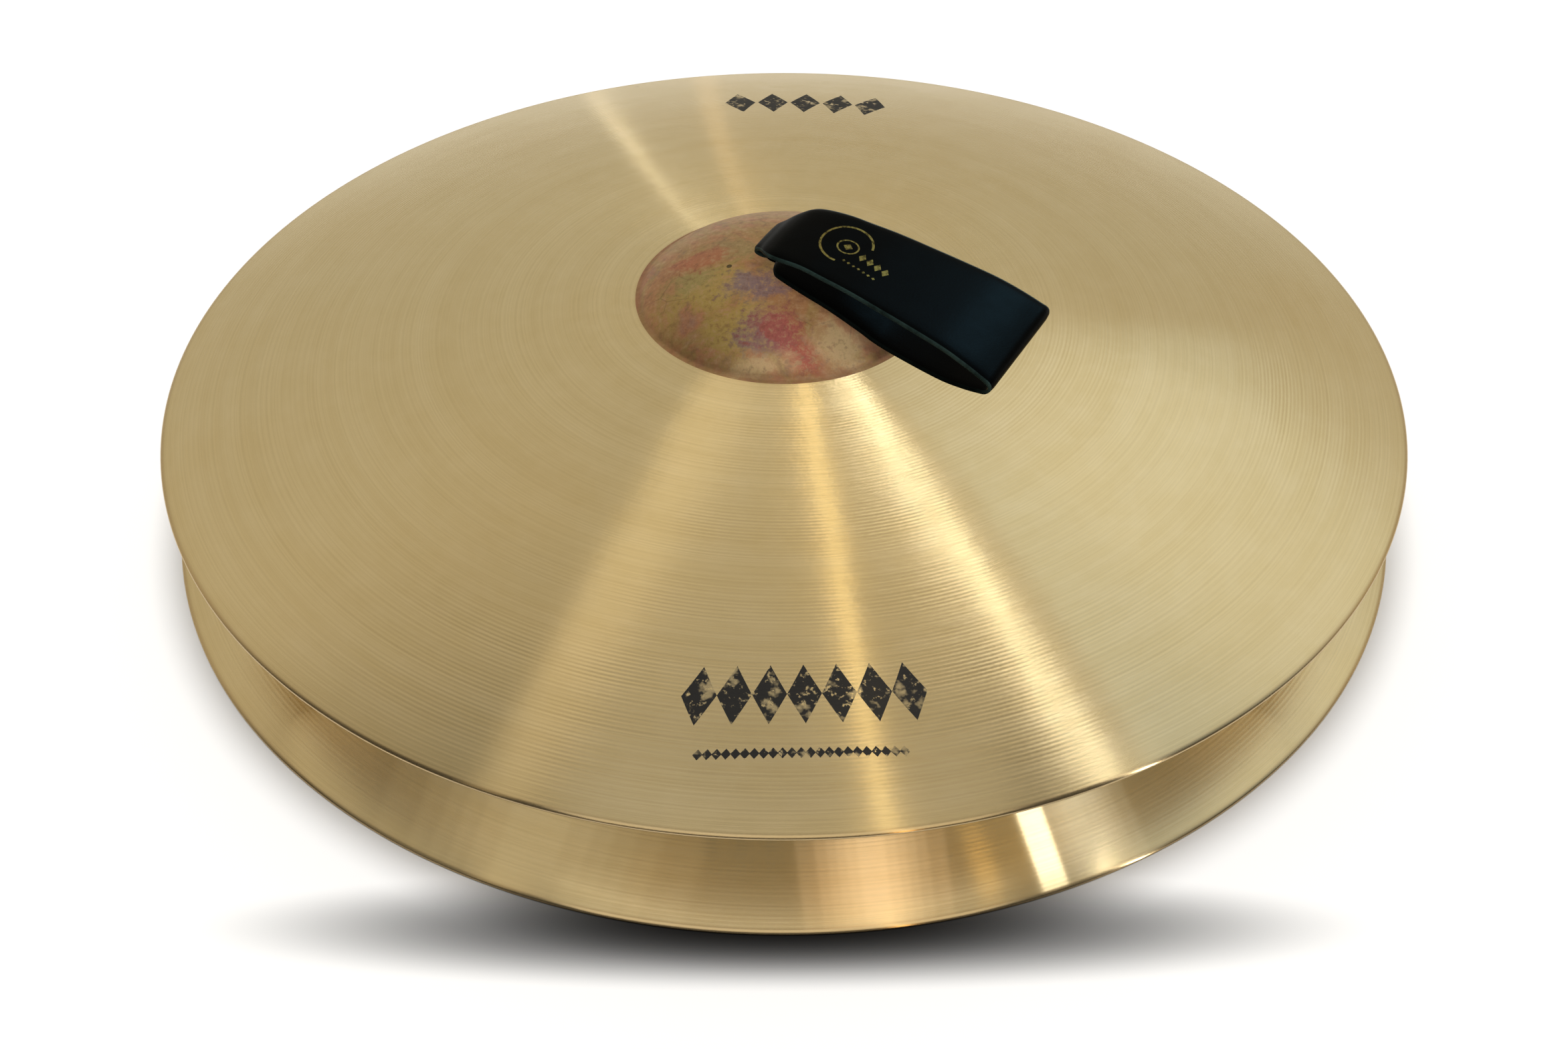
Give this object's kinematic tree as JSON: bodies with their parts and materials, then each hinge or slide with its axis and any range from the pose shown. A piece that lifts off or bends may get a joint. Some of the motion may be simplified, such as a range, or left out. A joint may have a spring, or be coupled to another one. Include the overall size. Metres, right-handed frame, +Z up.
{
  "type": "hand cymbals",
  "caption": "Hand cymbals laid one on the other: dished bronze plates with raised bells, each held by a folded leather loop knotted through it.",
  "frame": {"origin": "on the floor at the centre of the lower plate's rim", "axes": "+Z up along the plates' common axis, -Y towards the viewer, +X to the viewer's right"},
  "size_m": [0.4318, 0.4318, 0.1056],
  "materials": {
    "bronze": "lathed bow with fine circular grooves, raw mottled bell",
    "leather": "satin black, pale burnished edges"
  },
  "bodies": {
    "lower_plate": {"lower_cymbal": "bronze"},
    "lower_knot": {"lower_tail_1": "leather", "lower_tail_2": "leather", "lower_tail_3": "leather", "lower_tail_4": "leather"},
    "lower_loop": {"lower_strap": "leather"},
    "upper_plate": {"upper_cymbal": "bronze"},
    "upper_knot": {"upper_tail_1": "leather", "upper_tail_2": "leather", "upper_tail_3": "leather", "upper_tail_4": "leather"},
    "upper_loop": {"upper_strap": "leather"}
  },
  "joints": [
    {"name": "upper_lift", "type": "slide", "parent": "lower_plate", "child": "upper_plate", "axis": [0, 0, 1], "range_m": [0, 0.25]},
    {"name": "upper_swivel", "type": "hinge", "parent": "upper_plate", "child": "upper_knot", "pos_m": [0, 0, 0.092], "axis": [0, 0, 1], "continuous": true},
    {"name": "upper_tip", "type": "hinge", "parent": "upper_knot", "child": "upper_loop", "pos_m": [-0.0037, 0.00198, 0.0985], "axis": [-0.471, -0.8821, 0], "range_deg": [0, 140]},
    {"name": "lower_swivel", "type": "hinge", "parent": "lower_plate", "child": "lower_knot", "pos_m": [0, 0, 0.0505], "axis": [0, 0, 1], "continuous": true},
    {"name": "lower_tip", "type": "hinge", "parent": "lower_knot", "child": "lower_loop", "pos_m": [-0.0037, 0.00198, 0.057], "axis": [-0.471, -0.8821, 0], "range_deg": [0, 81]}
  ],
  "couplings": [
    {"joint": "lower_tip", "follows": "upper_lift", "rad_per_m": 5.585}
  ]
}
